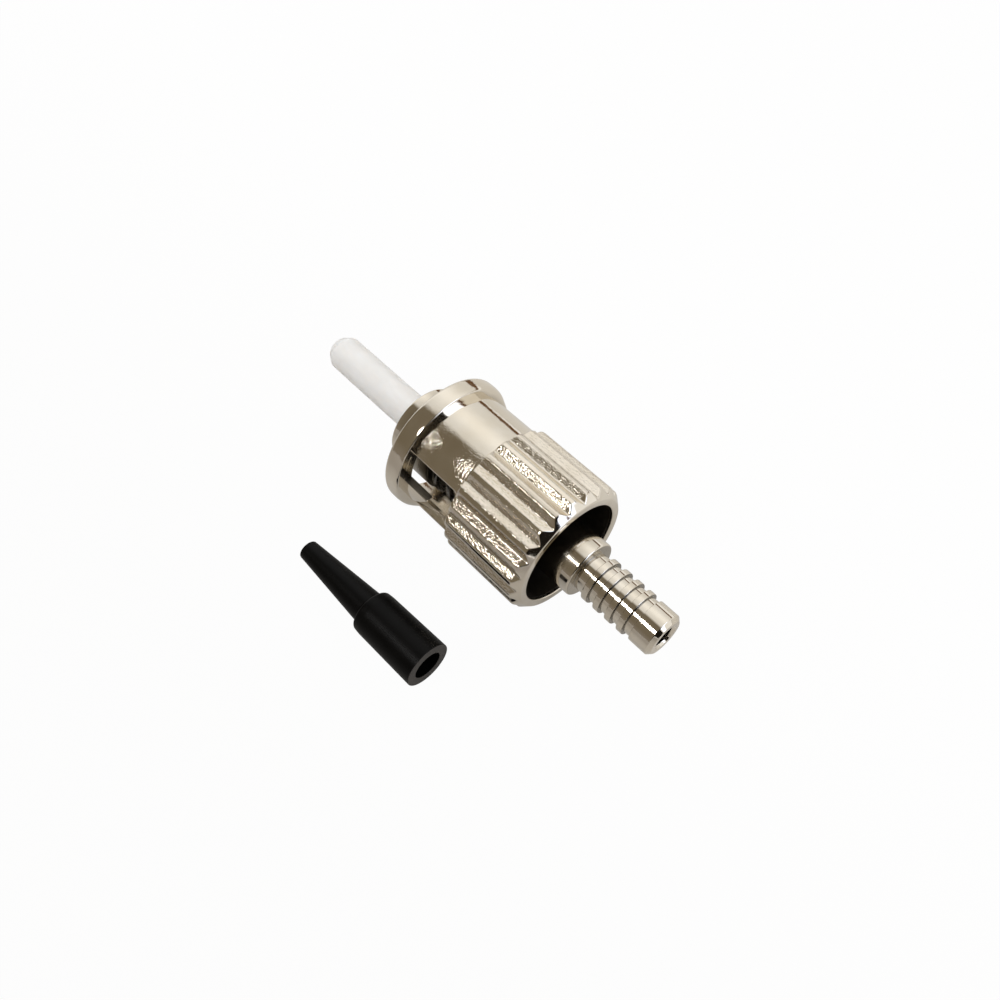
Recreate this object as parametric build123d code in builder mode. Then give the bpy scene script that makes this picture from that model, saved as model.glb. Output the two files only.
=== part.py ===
"""Bayonet fibre connector with a ceramic ferrule, and its rubber boot lying beside it.

Millimetres. The connector's axis is X: the ferrule points to -X and the cable leaves to +X.
The origin is the centre of the barrel's front face, where the ferrule comes out. +Z is up,
and the connector lies on its side, on the nut's flange.
"""

import os
from math import cos, pi, radians, sin

from build123d import *

# Ferrule
ferrule_d = 2.5
ferrule_reach = 9.1
ferrule_seat_d = 2.0
ferrule_seat_l = 3.4
ferrule_bevel_l = 0.65
ferrule_bevel_depth = 0.36
ferrule_dome_rise = 0.07
fibre_bore_d = 0.126
fibre_funnel_d = 0.9
fibre_funnel_l = 0.8

# Barrel, with its shank and stem
barrel_d = 5.45
barrel_l = 3.6
barrel_edge = 0.15
shank_d = 3.9
shank_overhang = 1.6
stem_d = 2.94
stem_l = 6.05
stem_bevel = 0.26
cable_bore_d = 1.47
cable_bore_edge = 0.15
barb_d = 3.06
barb_count = 4
barb_pitch = 0.94
barb_groove_w = 0.52
barb_groove_depth = 0.21
barb_first_groove_w = 0.76

# Alignment key
key_d = 1.0
key_x = 2.35
key_depth = 0.8
key_edge = 0.1
key_clearance = 0.36

# Spring and thrust washer
spring_wire_d = 0.45
spring_wire_sides = 6
spring_l = 4.45
spring_play = 0.22
spring_coil_gap = 0.02
spring_closed_turns = 0.75
spring_open_turns = 2.1
spring_points_per_turn = 12
washer_t = 0.3
washer_lip = 0.2

# Bayonet nut
socket_d = 7.36
nut_setback = 1.85
flange_w = 1.33
flange_lip = 0.585
flange_front_edge = 0.25
flange_rear_edge = 0.4
neck_wall = 0.56
neck_l = 4.08
grip_l = 6.54
flute_count = 22
flute_depth = 0.41
flute_floor_w = 0.15
flute_crest_w = 0.3
grip_bevel_l = 0.52
rim_w = 0.49
web_t = 0.9
first_flute_deg = 126.4

# Bayonet windows with notch and ramp, and the entry channels inside, in degrees round the axis
window_count = 2
window_start_deg = 141.0
notch_deg = 29.5
ramp_deg = 32.0
foot_deg = 5.5
channel_deg = 20.0
ramp_steps = 5
ramp_rise = 2.25
channel_depth = 0.3
channel_run = 1.4
window_corner = 0.3

# Retaining clip
clip_t = 0.4
clip_lip = 1.0
clip_groove_depth = 0.25
clip_gap_deg = 80.0

# Boot
boot_d = 3.21
boot_collar_l = 5.03
boot_collar_draft = 0.06
boot_step_l = 0.5
boot_step_round = 0.55
boot_shoulder_d = 2.27
boot_taper_l = 5.93
boot_tip_d = 1.35
boot_bore_d = 1.95
boot_bore_l = 5.6
boot_fibre_d = 0.95
boot_edge = 0.12
boot_gap = 3.86
boot_mouth_x = 12.27
boot_heading_deg = 2.09

# Clearances
running = 0.05
face_gap = 0.04
clip_play = 0.02

# Places along the axis that follow from the sizes
ferrule_r = ferrule_d / 2
barrel_r = barrel_d / 2
shank_r = shank_d / 2
socket_r = socket_d / 2
neck_r = socket_r + neck_wall
grip_r = neck_r + flute_depth
flange_r = neck_r + flange_lip
flange_rear_x = nut_setback + flange_w
grip_x = flange_rear_x + neck_l
nut_rear_x = grip_x + grip_l
washer_x = barrel_l + spring_l + 2 * face_gap
web_x = washer_x + washer_t + face_gap
clip_x = web_x + web_t + face_gap
shank_end_x = nut_rear_x + shank_overhang
stem_end_x = shank_end_x + stem_l
spring_r = shank_r + spring_play + spring_wire_d / 2
washer_r = spring_r + spring_wire_d / 2 + washer_lip
floor_z = -max(flange_r, grip_r)
far = 2 * flange_r


def radial_plane(angle_deg):
    """Plane that holds the X axis: local x runs along X, local y outward at this angle."""
    turn = radians(angle_deg)
    return Plane(origin=(0, 0, 0), x_dir=(1, 0, 0), z_dir=(0, -sin(turn), cos(turn)))


def spring_advance(turn):
    """Millimetres along the spring's axis after this many turns: closed coils at both ends."""
    closed_pitch = spring_wire_d + spring_coil_gap
    travel = spring_l - spring_wire_d
    open_pitch = (travel - 2 * spring_closed_turns * closed_pitch) / spring_open_turns
    first = min(turn, spring_closed_turns) * closed_pitch
    middle = min(max(turn - spring_closed_turns, 0), spring_open_turns) * open_pitch
    last = max(turn - spring_closed_turns - spring_open_turns, 0) * closed_pitch
    return first + middle + last


def slice_corners(start_deg, wide_deg):
    """Corners of a slice round the axis that reaches past the nut's outside."""
    sides = (radians(start_deg), radians(start_deg + wide_deg))
    return [(0, 0)] + [(far * cos(side), far * sin(side)) for side in sides]


os.makedirs("parts", exist_ok=True)

# Ferrule: a ground ceramic rod with a bevelled, slightly domed tip and a fine bore, and a
# thinner seat whose shoulder stops against the barrel's front face
with BuildPart() as ferrule:
    tip_r = ferrule_r - ferrule_bevel_depth
    with BuildSketch(Plane.XZ):
        with BuildLine():
            tip_arc = ThreePointArc(
                (-ferrule_reach, 0),
                (-ferrule_reach + ferrule_dome_rise / 4, tip_r / 2),
                (-ferrule_reach + ferrule_dome_rise, tip_r),
            )
            Polyline(
                tip_arc @ 1,
                (-ferrule_reach + ferrule_bevel_l, ferrule_r),
                (0, ferrule_r),
                (0, ferrule_seat_d / 2),
                (ferrule_seat_l, ferrule_seat_d / 2),
                (ferrule_seat_l, 0),
                tip_arc @ 0,
            )
        make_face()
    revolve(axis=Axis.X)
    with BuildSketch(Plane.XZ):
        with BuildLine():
            Polyline(
                (-ferrule_reach - ferrule_bevel_l, 0),
                (-ferrule_reach - ferrule_bevel_l, fibre_bore_d / 2),
                (ferrule_seat_l - fibre_funnel_l, fibre_bore_d / 2),
                (ferrule_seat_l, fibre_funnel_d / 2),
                (ferrule_seat_l, 0),
                close=True,
            )
        make_face()
    revolve(axis=Axis.X, mode=Mode.SUBTRACT)
ferrule.part.label = "ferrule"
export_step(ferrule.part, "parts/ferrule.step")

# Barrel: one turned piece, the barbs are left standing between the stem's grooves
with BuildPart() as barrel:
    barbs_end_x = shank_end_x + barb_first_groove_w + barb_count * barb_pitch
    with BuildSketch(Plane.XZ):
        with BuildLine():
            Polyline(
                (0, 0),
                (0, barrel_r - barrel_edge),
                (barrel_edge, barrel_r),
                (barrel_l - barrel_edge, barrel_r),
                (barrel_l, barrel_r - barrel_edge),
                (barrel_l, shank_r),
                (shank_end_x - barrel_edge, shank_r),
                (shank_end_x, shank_r - barrel_edge),
                (shank_end_x, barb_d / 2),
                (barbs_end_x, barb_d / 2),
                (barbs_end_x, stem_d / 2),
                (stem_end_x - stem_bevel, stem_d / 2),
                (stem_end_x, stem_d / 2 - stem_bevel),
                (stem_end_x, 0),
                close=True,
            )
        make_face()
    revolve(axis=Axis.X)
    with BuildSketch(Plane.XZ):
        groove_floor = barb_d / 2 - barb_groove_depth
        with Locations((shank_end_x, groove_floor)):
            Rectangle(barb_first_groove_w, barb_d, align=(Align.MIN, Align.MIN))
        for barb in range(1, barb_count + 1):
            groove_end = shank_end_x + barb_first_groove_w + barb * barb_pitch
            with Locations((groove_end, groove_floor)):
                Rectangle(barb_groove_w, barb_d, align=(Align.MAX, Align.MIN))
        with Locations((clip_x - clip_play, shank_r - clip_groove_depth)):
            Rectangle(clip_t + 2 * clip_play, shank_r, align=(Align.MIN, Align.MIN))
    revolve(axis=Axis.X, mode=Mode.SUBTRACT)
    with BuildSketch(Plane.YZ):
        Circle(ferrule_seat_d / 2)
    extrude(amount=ferrule_seat_l, mode=Mode.SUBTRACT)
    with BuildSketch(Plane.YZ):
        Circle(cable_bore_d / 2)
    extrude(amount=stem_end_x, mode=Mode.SUBTRACT)
    end_rings = barrel.faces().sort_by(Axis.X)[-1].edges().sort_by(SortBy.LENGTH)
    chamfer(end_rings[0], cable_bore_edge)
    with BuildSketch(Plane.XY.offset(-barrel_r + key_depth)):
        with Locations((key_x, 0)):
            Circle(key_d / 2)
    extrude(amount=-barrel_r, mode=Mode.SUBTRACT)
barrel.part.label = "barrel"
export_step(barrel.part, "parts/barrel.step")

# Alignment key: a pin pressed into the underside of the barrel
with BuildPart() as alignment_key:
    key_top_r = socket_r - key_clearance
    with BuildSketch(Plane.XY.offset(-barrel_r + key_depth)):
        with Locations((key_x, 0)):
            Circle(key_d / 2)
    extrude(amount=-(key_top_r - barrel_r + key_depth))
    chamfer(alignment_key.faces().sort_by(Axis.Z)[0].edges(), key_edge)
alignment_key.part.label = "alignment_key"
export_step(alignment_key.part, "parts/alignment_key.step")

# Spring: a coil round the shank, from the barrel's shoulder to the thrust washer
with BuildPart() as spring:
    spring_turns = 2 * spring_closed_turns + spring_open_turns
    spring_steps = round(spring_turns * spring_points_per_turn)
    coil = []
    for step in range(spring_steps + 1):
        turn = spring_turns * step / spring_steps
        x = barrel_l + face_gap + spring_wire_d / 2 + spring_advance(turn)
        coil.append((x, spring_r * cos(2 * pi * turn), spring_r * sin(2 * pi * turn)))
    with BuildLine() as spring_path:
        Spline(*coil)
    with BuildSketch(Plane(origin=spring_path.line @ 0, z_dir=spring_path.line % 0)):
        RegularPolygon(spring_wire_d / 2, spring_wire_sides)
    sweep(is_frenet=True)
spring.part.label = "spring"
export_step(spring.part, "parts/spring.step")

# Thrust washer: carries the spring's load to the nut's web
with BuildPart() as thrust_washer:
    with BuildSketch(Plane.YZ.offset(washer_x)):
        Circle(washer_r)
        Circle(shank_r + running, mode=Mode.SUBTRACT)
    extrude(amount=washer_t)
thrust_washer.part.label = "thrust_washer"
export_step(thrust_washer.part, "parts/thrust_washer.step")

# Bayonet nut: turned form first, then flutes, windows and entry channels
with BuildPart() as bayonet_nut:
    with BuildSketch(Plane.XZ):
        with BuildLine():
            Polyline(
                (nut_setback, socket_r),
                (nut_setback, flange_r),
                (flange_rear_x, flange_r),
                (flange_rear_x, neck_r),
                (grip_x, neck_r),
                (grip_x, grip_r),
                (nut_rear_x - grip_bevel_l, grip_r),
                (nut_rear_x, socket_r + rim_w),
                (nut_rear_x, socket_r),
                (web_x + web_t, socket_r),
                (web_x + web_t, shank_r + running),
                (web_x, shank_r + running),
                (web_x, socket_r),
                close=True,
            )
        make_face()
    revolve(axis=Axis.X)
    rings = bayonet_nut.edges().filter_by(GeomType.CIRCLE).sort_by(Axis.X)
    flange_rings = rings.filter_by(lambda e: abs(e.radius - flange_r) < face_gap)
    fillet(flange_rings[-1], flange_rear_edge)
    rings = bayonet_nut.edges().filter_by(GeomType.CIRCLE).sort_by(Axis.X)
    fillet(rings.filter_by(lambda e: abs(e.radius - flange_r) < face_gap)[0], flange_front_edge)

    for window in range(window_count):
        start_deg = window_start_deg + window * 360 / window_count
        ramp_start_deg = start_deg + notch_deg
        ramp_end_deg = ramp_start_deg + ramp_deg
        for step in range(ramp_steps + 1):
            share = step / ramp_steps
            edge_x = flange_rear_x + ramp_rise * (1 - share)
            with BuildSketch(radial_plane(ramp_start_deg + share * ramp_deg)):
                with Locations((edge_x, shank_r)):
                    Rectangle(grip_x - edge_x, far, align=(Align.MIN, Align.MIN))
        loft(ruled=True, mode=Mode.SUBTRACT)
        with BuildSketch(Plane.YZ.offset(flange_rear_x)):
            Polygon(*slice_corners(start_deg, notch_deg), align=None)
            Polygon(*slice_corners(ramp_end_deg, foot_deg), align=None)
        extrude(amount=neck_l, mode=Mode.SUBTRACT)
        with BuildSketch(Plane.YZ.offset(nut_setback)):
            Circle(socket_r + channel_depth)
            Polygon(*slice_corners(ramp_end_deg, channel_deg), align=None, mode=Mode.INTERSECT)
        extrude(amount=flange_w + channel_run, mode=Mode.SUBTRACT)
    corners = bayonet_nut.edges().filter_by(GeomType.LINE).filter_by_position(
        Axis.X, grip_x - face_gap, grip_x + face_gap
    )
    inner_corners = corners.filter_by(lambda e: abs(e.length - neck_wall) < face_gap)
    fillet(inner_corners, window_corner)

    flute_mouth_w = 2 * pi * grip_r / flute_count - flute_crest_w
    with BuildSketch(Plane.YZ.offset(grip_x)):
        with PolarLocations(0, flute_count, start_angle=first_flute_deg):
            Polygon(
                (neck_r, -flute_floor_w / 2),
                (grip_r, -flute_mouth_w / 2),
                (grip_r + flute_depth, -flute_mouth_w / 2),
                (grip_r + flute_depth, flute_mouth_w / 2),
                (grip_r, flute_mouth_w / 2),
                (neck_r, flute_floor_w / 2),
                align=None,
            )
    extrude(amount=grip_l, mode=Mode.SUBTRACT)
bayonet_nut.part.label = "bayonet_nut"
export_step(bayonet_nut.part, "parts/bayonet_nut.step")

# Retaining clip: an open ring in the shank's groove, behind the nut's web
with BuildPart() as retaining_clip:
    with BuildSketch(Plane.YZ.offset(clip_x)):
        Circle(shank_r + clip_lip)
        Circle(shank_r - clip_groove_depth + clip_play, mode=Mode.SUBTRACT)
        gap_start_deg = -90 - clip_gap_deg / 2
        Polygon(*slice_corners(gap_start_deg, clip_gap_deg), align=None, mode=Mode.SUBTRACT)
    extrude(amount=clip_t)
retaining_clip.part.label = "retaining_clip"
export_step(retaining_clip.part, "parts/retaining_clip.step")

# Boot: thick collar, rounded step and long taper, lying on its collar beside the connector
with BuildPart() as boot:
    heading = radians(boot_heading_deg)
    boot_r = boot_d / 2
    boot_l = boot_collar_l + boot_step_l + boot_taper_l
    boot_y = -(flange_r + boot_gap + boot_r)
    boot_plane = Plane(
        origin=(boot_mouth_x, boot_y, floor_z + boot_r),
        x_dir=(cos(heading), sin(heading), 0),
        z_dir=(sin(heading), -cos(heading), 0),
    )
    boot_axis = Axis(origin=boot_plane.origin, direction=boot_plane.x_dir)
    with BuildSketch(boot_plane):
        with BuildLine():
            step_arc = RadiusArc(
                (-boot_collar_l, boot_r - boot_collar_draft),
                (-boot_collar_l - boot_step_l, boot_shoulder_d / 2),
                -boot_step_round,
            )
            Polyline(
                step_arc @ 1,
                (-boot_l + boot_edge, boot_tip_d / 2),
                (-boot_l, boot_tip_d / 2 - boot_edge),
                (-boot_l, boot_fibre_d / 2),
                (-boot_bore_l, boot_fibre_d / 2),
                (-boot_bore_l, boot_bore_d / 2),
                (0, boot_bore_d / 2),
                (0, boot_r - boot_edge),
                (-boot_edge, boot_r),
                step_arc @ 0,
            )
        make_face()
    revolve(axis=boot_axis)
boot.part.label = "boot"
export_step(boot.part, "parts/boot.step")
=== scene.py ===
# %% [markdown]
# # A bayonet fibre connector and its boot
# A single-fibre plug: a white ceramic ferrule in a turned, nickel-plated barrel, a die-cast
# bayonet nut that slides and turns on it, and a black rubber boot that lies beside it.
# The CAD model is loaded first as a fixed frame in metres. Everything below is drawn round it,
# in the same place, so nothing has to be fitted later.

import bpy
import numpy as np
from mathutils import Matrix, Vector


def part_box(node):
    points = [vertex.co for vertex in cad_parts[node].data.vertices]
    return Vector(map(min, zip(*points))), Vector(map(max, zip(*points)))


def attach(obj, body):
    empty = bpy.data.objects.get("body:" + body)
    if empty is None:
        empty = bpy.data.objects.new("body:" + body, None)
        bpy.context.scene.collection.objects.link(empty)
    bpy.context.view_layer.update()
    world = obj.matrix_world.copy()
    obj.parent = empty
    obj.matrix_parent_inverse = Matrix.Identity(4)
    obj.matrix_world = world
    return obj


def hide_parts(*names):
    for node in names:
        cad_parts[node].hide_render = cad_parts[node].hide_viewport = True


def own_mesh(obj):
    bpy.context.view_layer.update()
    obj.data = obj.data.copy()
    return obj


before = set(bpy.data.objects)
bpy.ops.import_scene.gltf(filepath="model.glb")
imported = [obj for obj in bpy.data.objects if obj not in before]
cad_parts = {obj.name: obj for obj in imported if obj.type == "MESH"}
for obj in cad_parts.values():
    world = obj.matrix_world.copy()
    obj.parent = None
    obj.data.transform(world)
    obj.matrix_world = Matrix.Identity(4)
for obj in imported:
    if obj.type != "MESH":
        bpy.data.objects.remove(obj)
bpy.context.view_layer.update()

MM = 0.001


# %% [markdown]
# ## Where the frame says things are
# The box of each CAD node gives the places along the axis and the largest radii, so a change of
# the model moves the drawn pieces with it. Only the shapes inside those boxes are given as sizes
# of their own, in millimetres, next to the piece that they belong to.

# %% Read places from the frame
def span(node, axis):
    """Lowest and highest coordinate of a CAD node along one axis, in millimetres."""
    low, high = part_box(node)
    return low[axis] / MM, high[axis] / MM


nut_front, nut_rear = span("bayonet_nut", 0)
flange_r = span("bayonet_nut", 1)[1]
stem_end = span("barrel", 0)[1]
barrel_r = span("barrel", 1)[1]
ferrule_tip, ferrule_seat_end = span("ferrule", 0)
ferrule_r = span("ferrule", 1)[1]
spring_start, spring_stop = span("spring", 0)
boot_mouth = span("boot", 0)[1]
boot_side = span("boot", 1)[1]
floor_z = span("bayonet_nut", 2)[0]
print(f"nut {nut_front:.2f} to {nut_rear:.2f} mm, flange radius {flange_r:.3f} mm")


# %% [markdown]
# ## Outlines with rounded corners
# Every real edge on plated metal is a little round, and that roundness is what catches the light.
# A Bevel modifier could make it, but a turned piece only needs the roundness in its outline.
# So each outline is a list of corners with a radius, and each corner becomes a short arc. Two extra
# points just outside each arc hold the flat faces flat under smooth shading.

# %% Round an outline
HOLD = 0.03
ARC_SHARE, HOLD_SHARE = 0.45, 0.48


def rounded_outline(corners, arc_steps=5):
    """Closed outline of (x, r) points from rows of (x, r, radius), each corner made an arc.

    With unit vectors a and b along the two edges of a corner and h half the angle between them,
    the arc touches the edges at radius / tan(h) from the corner, and its centre lies on the
    bisector at radius / sin(h). The arc's points turn evenly from one touching point to the other.
    An arc takes at most ARC_SHARE of the shorter edge beside it, so that arcs never overlap.
    """
    rows = np.array(corners, float)
    corner, radius = rows[:, :2], rows[:, 2:]
    back = np.roll(corner, 1, axis=0) - corner
    ahead = np.roll(corner, -1, axis=0) - corner
    reach = np.minimum(np.linalg.norm(back, axis=1), np.linalg.norm(ahead, axis=1))[:, None]
    a = back / np.linalg.norm(back, axis=1, keepdims=True)
    b = ahead / np.linalg.norm(ahead, axis=1, keepdims=True)
    half = np.arccos(np.clip((a * b).sum(1, keepdims=True), -1, 1)) / 2
    touch = np.minimum(radius / np.tan(half), ARC_SHARE * reach)
    radius = touch * np.tan(half)
    bisector = (a + b) / np.linalg.norm(a + b, axis=1, keepdims=True)
    centre = corner + bisector * radius / np.sin(half)
    first = corner + a * touch - centre
    last = corner + b * touch - centre
    start = np.arctan2(first[:, 1], first[:, 0])[:, None]
    sweep = (np.arctan2(last[:, 1], last[:, 0])[:, None] - start + np.pi) % (2 * np.pi) - np.pi
    turn = start + sweep * np.linspace(0, 1, arc_steps)
    arc = centre[:, None] + radius[:, None] * np.stack([np.cos(turn), np.sin(turn)], axis=-1)
    hold = np.minimum(touch + HOLD, HOLD_SHARE * reach)
    before = (corner + a * hold)[:, None]
    after = (corner + b * hold)[:, None]
    return np.concatenate([before, arc, after], axis=1).reshape(-1, 2)


# %% [markdown]
# ## Surfaces on a grid
# A turned piece is its outline carried round the axis, so its points form a grid: one row for each
# outline point and one column for each angle. The faces join neighbours on that grid, and both
# ways round the grid closes on itself, so there is no seam and no pole left open.

# %% Grids, faces and pieces
SHARP_ANGLE = np.radians(50)


def turned(outline, columns):
    """Points of a turned piece: outline point (x, r) at angle v stands at (x, r cos v, r sin v)."""
    angle = np.linspace(0, 2 * np.pi, columns, endpoint=False)
    x = outline[:, :1] + 0 * angle
    r = outline[:, 1:] + 0 * angle
    return np.stack([x, r * np.cos(angle), r * np.sin(angle)], axis=-1)


def grid_faces(rows, columns):
    """Four-sided faces of a grid that closes both ways, wound so that they point outwards."""
    i, j = np.meshgrid(np.arange(rows), np.arange(columns), indexing="ij")
    up, right = (i + 1) % rows, (j + 1) % columns
    corners = [i * columns + j, i * columns + right, up * columns + right, up * columns + j]
    return np.stack(corners, axis=-1)


def put_piece(name, points, faces, body, node, material, marks=()):
    """Make a mesh from points in millimetres, dress it, and let it stand for its CAD node.

    Marks are pairs of a name and an array with one value for each point, for the material to read.
    """
    mesh = bpy.data.meshes.new(name)
    mesh.from_pydata((points.reshape(-1, 3) * MM).tolist(), [], faces)
    mesh.polygons.foreach_set("use_smooth", np.ones(len(mesh.polygons), bool))
    mesh.set_sharp_from_angle(angle=SHARP_ANGLE)
    for mark, values in marks:
        mesh.attributes.new(mark, "FLOAT", "POINT").data.foreach_set("value", values.ravel())
    mesh.materials.append(material)
    piece = bpy.data.objects.new(name, mesh)
    bpy.context.collection.objects.link(piece)
    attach(piece, body)
    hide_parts(node)
    print(f"{name}: {len(mesh.vertices)} points, {len(mesh.polygons)} faces")
    return piece


# %% [markdown]
# ## Finishes
# Each finish is a Principled shader whose colour, roughness and bump come from noise on Object
# coordinates, because a pattern in metres on the object stays put when a part moves. A helper
# wires the noise, and each finish then only says how large its grain is and how deep.

# %% Node helpers
def new_finish(name):
    """A material with its Principled shader and its Object coordinates."""
    material = bpy.data.materials.new(name)
    material.use_nodes = True
    nodes = material.node_tree.nodes
    coords = nodes.new("ShaderNodeTexCoord").outputs["Object"]
    return material, nodes["Principled BSDF"], coords


def grain(material, coords, size_mm, detail=2.0, stretch=(1, 1, 1)):
    """Noise whose blobs are about size_mm across, longer along an axis where stretch is below 1."""
    tree = material.node_tree
    mapping = tree.nodes.new("ShaderNodeMapping")
    mapping.inputs["Scale"].default_value = stretch
    noise = tree.nodes.new("ShaderNodeTexNoise")
    noise.inputs["Scale"].default_value = 1 / (size_mm * MM)
    noise.inputs["Detail"].default_value = detail
    tree.links.new(coords, mapping.inputs["Vector"])
    tree.links.new(mapping.outputs["Vector"], noise.inputs["Vector"])
    return noise.outputs["Fac"]


def ramp_colour(material, value, stops):
    """A colour ramp from stops of (place, colour), read at this value."""
    tree = material.node_tree
    ramp = tree.nodes.new("ShaderNodeValToRGB")
    for element, (place, colour) in zip(ramp.color_ramp.elements, stops):
        element.position = place
        element.color = (*colour, 1)
    tree.links.new(value, ramp.inputs["Fac"])
    return ramp.outputs["Color"]


def carried(material, value, low, high, span_in=(0.3, 0.7)):
    """Carry a value from the span that it has, 0.3 to 0.7 for noise, to the range low to high."""
    tree = material.node_tree
    carry = tree.nodes.new("ShaderNodeMapRange")
    carry.inputs["From Min"].default_value = span_in[0]
    carry.inputs["From Max"].default_value = span_in[1]
    carry.inputs["To Min"].default_value = low
    carry.inputs["To Max"].default_value = high
    tree.links.new(value, carry.inputs["Value"])
    return carry.outputs["Result"]


def spread(material, value, stops, socket):
    """Feed one socket of the shader from a colour ramp."""
    material.node_tree.links.new(ramp_colour(material, value, stops), socket)


def vary(material, value, low, high, socket):
    """Feed one socket of the shader from a noise value, in the range low to high."""
    material.node_tree.links.new(carried(material, value, low, high), socket)


def emboss(material, heights, shader):
    """Chain bumps from (height value, depth in millimetres) pairs into the shader's normal."""
    tree = material.node_tree
    last = None
    for height, depth_mm in heights:
        bump = tree.nodes.new("ShaderNodeBump")
        bump.inputs["Distance"].default_value = depth_mm * MM
        tree.links.new(height, bump.inputs["Height"])
        if last:
            tree.links.new(last, bump.inputs["Normal"])
        last = bump.outputs["Normal"]
    tree.links.new(last, shader.inputs["Normal"])


# %% [markdown]
# ### Nickel plate
# The nut is a die casting that was tumbled before plating. Tumbling smooths what stands out, so
# the orange peel of the casting stays in the corners and in the flutes, and breaks highlights
# into sparkles there. Inside the bores the plate is dull, and its colour is painted dark there as
# painted shade. Two point attributes tell the material where the peel and the painted shade go.
# The barrel is turned, so its plate is smooth but for hair-fine rings; painted shade darkens it
# inside the nut, on the rear faces of the barbs and on the shank's end face. Both have the warm grey
# of nickel.

# %% Plate on the casting and on the turned barrel
NICKEL_LIGHT = (0.80, 0.745, 0.65)
NICKEL_WARM = (0.755, 0.69, 0.58)
# Painted shade: dark plate colours for the nut's bores and for the barrel inside the nut.
NUT_SHADE_DARK, NUT_SHADE_LIGHT = (0.070, 0.060, 0.048), (0.10, 0.088, 0.070)
BARREL_SHADE_DARK, BARREL_SHADE_LIGHT = (0.075, 0.066, 0.052), (0.11, 0.098, 0.078)


def mark_value(material, mark):
    """The value of a point attribute of the mesh."""
    attribute = material.node_tree.nodes.new("ShaderNodeAttribute")
    attribute.attribute_name = mark
    return attribute.outputs["Fac"]


def blend(material, share, low, high, data_type):
    """Go from low to high by a share; each of them is a value of another node."""
    tree = material.node_tree
    mix = tree.nodes.new("ShaderNodeMix")
    mix.data_type = data_type
    sockets = [s for s in mix.inputs if s.enabled]
    for source, socket in zip((share, low, high), sockets):
        tree.links.new(source, socket)
    return [s for s in mix.outputs if s.enabled][0]


def cast_nickel():
    """Plate on the casting: full peel where recess is 1, dull plate painted dark as painted shade
    where the shade mark is 1.
    """
    peel_mm, peel_depth, peel_on_smooth = 0.125, 0.0145, 0.04
    swell_mm, swell_depth = 0.6, 0.006
    material, shader, coords = new_finish("cast_nickel")
    shader.inputs["Metallic"].default_value = 1.0
    recess, painted_shade = mark_value(material, "recess"), mark_value(material, "painted_shade")
    cloud = grain(material, coords, 2.0)
    peel = grain(material, coords, peel_mm)
    swell = grain(material, coords, swell_mm, detail=1.0)
    plate = ramp_colour(material, cloud, [(0.35, NICKEL_WARM), (0.65, NICKEL_LIGHT)])
    nut_shaded_plate = ramp_colour(material, cloud, [(0.35, NUT_SHADE_DARK), (0.65, NUT_SHADE_LIGHT)])
    bright = carried(material, peel, 0.05, 0.12)
    dull = carried(material, peel, 0.40, 0.55)
    tree = material.node_tree
    tree.links.new(blend(material, painted_shade, plate, nut_shaded_plate, "RGBA"), shader.inputs["Base Color"])
    tree.links.new(blend(material, painted_shade, bright, dull, "FLOAT"), shader.inputs["Roughness"])
    depth = tree.nodes.new("ShaderNodeMath")
    depth.operation = "MULTIPLY"
    tree.links.new(carried(material, peel, -0.5, 0.5), depth.inputs[0])
    tree.links.new(carried(material, recess, peel_on_smooth, 1.0, (0, 1)), depth.inputs[1])
    emboss(material, [(swell, swell_depth), (depth.outputs[0], peel_depth)], shader)
    return material


def turned_nickel():
    """Plate on the turned barrel: rings round X, and painted shade where the shade mark is 1."""
    ring_mm, ring_depth, ring_stretch = 0.05, 0.0006, (1, 0.02, 0.02)
    material, shader, coords = new_finish("turned_nickel")
    shader.inputs["Metallic"].default_value = 1.0
    cloud = grain(material, coords, 1.5)
    rings = grain(material, coords, ring_mm, detail=1.0, stretch=ring_stretch)
    painted_shade = mark_value(material, "painted_shade")
    plate = ramp_colour(material, cloud, [(0.35, NICKEL_WARM), (0.65, NICKEL_LIGHT)])
    barrel_shade = ramp_colour(material, cloud, [(0.35, BARREL_SHADE_DARK), (0.65, BARREL_SHADE_LIGHT)])
    bright = carried(material, cloud, 0.05, 0.10)
    dull_in_shade = carried(material, cloud, 0.25, 0.40)
    tree = material.node_tree
    tree.links.new(blend(material, painted_shade, plate, barrel_shade, "RGBA"), shader.inputs["Base Color"])
    tree.links.new(blend(material, painted_shade, bright, dull_in_shade, "FLOAT"), shader.inputs["Roughness"])
    emboss(material, [(rings, ring_depth)], shader)
    return material


nut_plate = cast_nickel()
barrel_plate = turned_nickel()
print("plate:", nut_plate.name, barrel_plate.name)


# %% [markdown]
# ### Ceramic, wire and rubber
# The ferrule is ground zirconia: milky, with light that soaks in a little way. The spring, washer
# and clip are drawn or stamped steel with streaks along X, painted dark as painted shade. The boot
# is matte moulded rubber with a fine grain, and the end face of its mouth is painted paler than the
# skin, as a painted reflection of the pale floor.

# %% Ceramic, steel and rubber
def milky_ceramic():
    """Ground ceramic: white, with light that soaks in by soak_mm and a fine grinding grain."""
    soak_mm, grind_mm, grind_depth = 2.5, 0.08, 0.0005
    material, shader, coords = new_finish("milky_ceramic")
    cloud = grain(material, coords, 1.2)
    fine = grain(material, coords, grind_mm)
    stops = [(0.3, (0.84, 0.825, 0.805)), (0.7, (0.89, 0.88, 0.865))]
    spread(material, cloud, stops, shader.inputs["Base Color"])
    vary(material, fine, 0.28, 0.38, shader.inputs["Roughness"])
    shader.inputs["Subsurface Weight"].default_value = 1.0
    shader.inputs["Subsurface Radius"].default_value = (1.0, 0.95, 0.9)
    shader.inputs["Subsurface Scale"].default_value = soak_mm * MM
    emboss(material, [(fine, grind_depth)], shader)
    return material


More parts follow.
